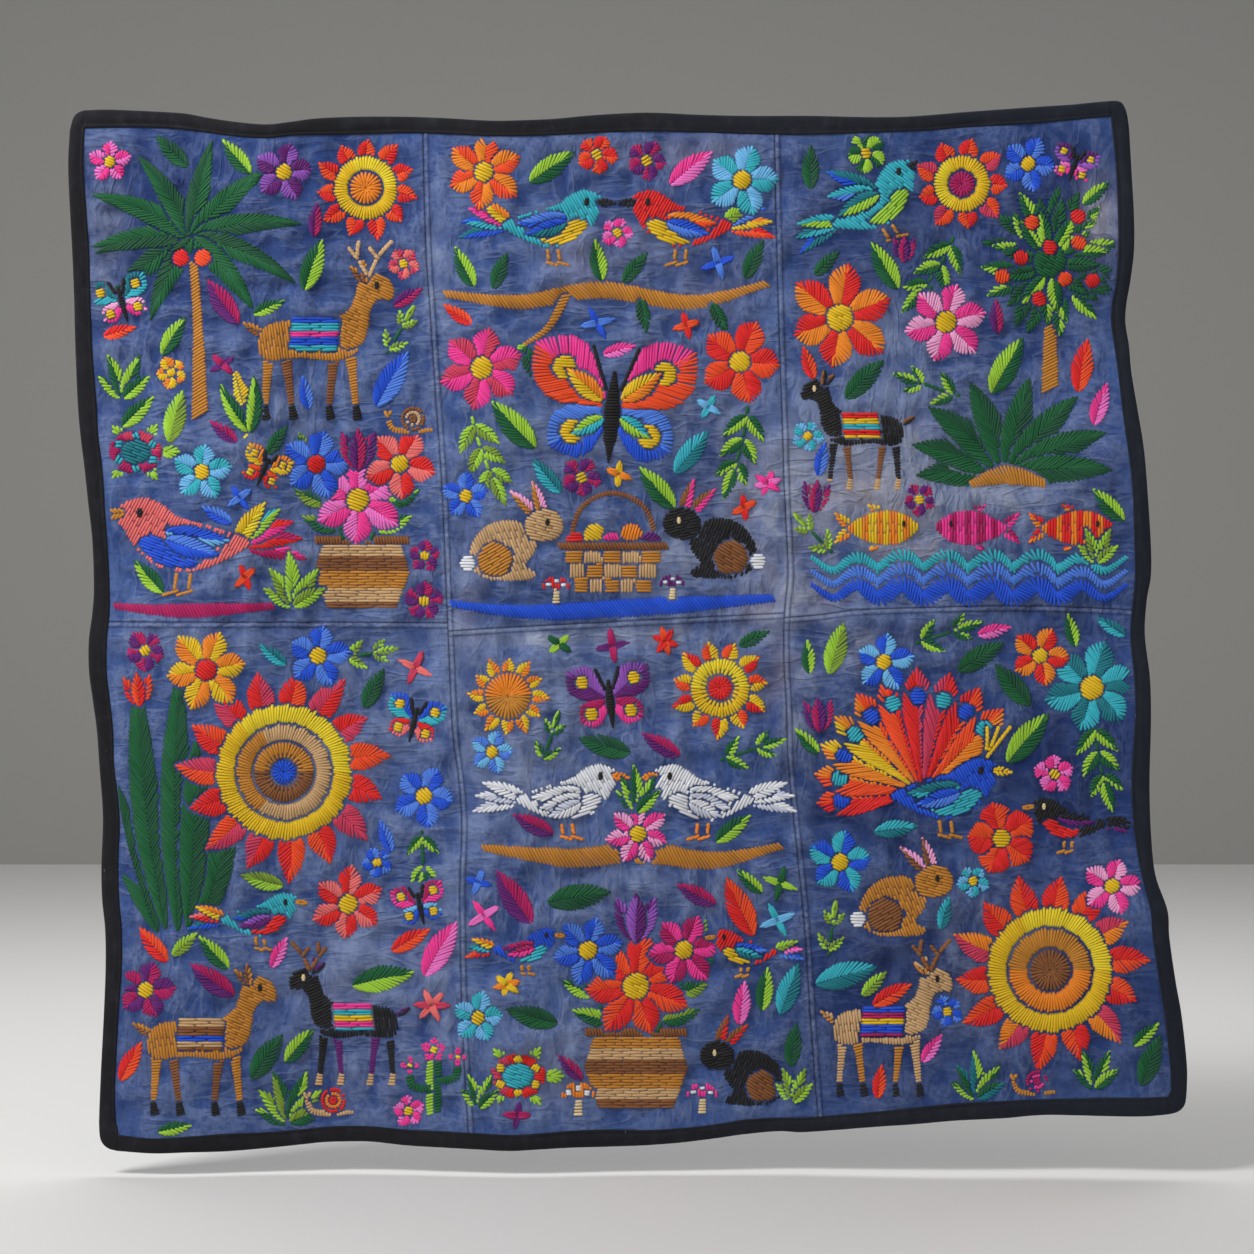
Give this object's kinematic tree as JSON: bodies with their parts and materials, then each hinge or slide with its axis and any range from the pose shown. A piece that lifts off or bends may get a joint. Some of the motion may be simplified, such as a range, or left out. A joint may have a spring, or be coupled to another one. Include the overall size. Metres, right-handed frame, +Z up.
{
  "type": "wall tapestry",
  "caption": "Square wall hanging of pieced, hand-dyed indigo cotton with dense yarn embroidery and a narrow black folded binding, hung by its top edge.",
  "frame": {"origin": "middle of the top edge, in the plane that the tapestry hangs against", "axes": "+X to the viewer's right, +Z up, front towards -Y"},
  "size_m": [0.9218, 0.0247, 0.8669],
  "materials": {
    "dyed_cotton": "matt plain-weave cotton, unevenly dyed indigo, washed and faded in patches",
    "black_cotton": "matt black cotton binding, slightly creased"
  },
  "bodies": {
    "root": {"block_top_left": "dyed_cotton", "block_top_middle": "dyed_cotton", "block_top_right": "dyed_cotton", "block_bottom_left": "dyed_cotton", "block_bottom_middle": "dyed_cotton", "block_bottom_right": "dyed_cotton", "binding_top": "black_cotton", "binding_bottom": "black_cotton", "binding_left": "black_cotton", "binding_right": "black_cotton"}
  },
  "joints": []
}
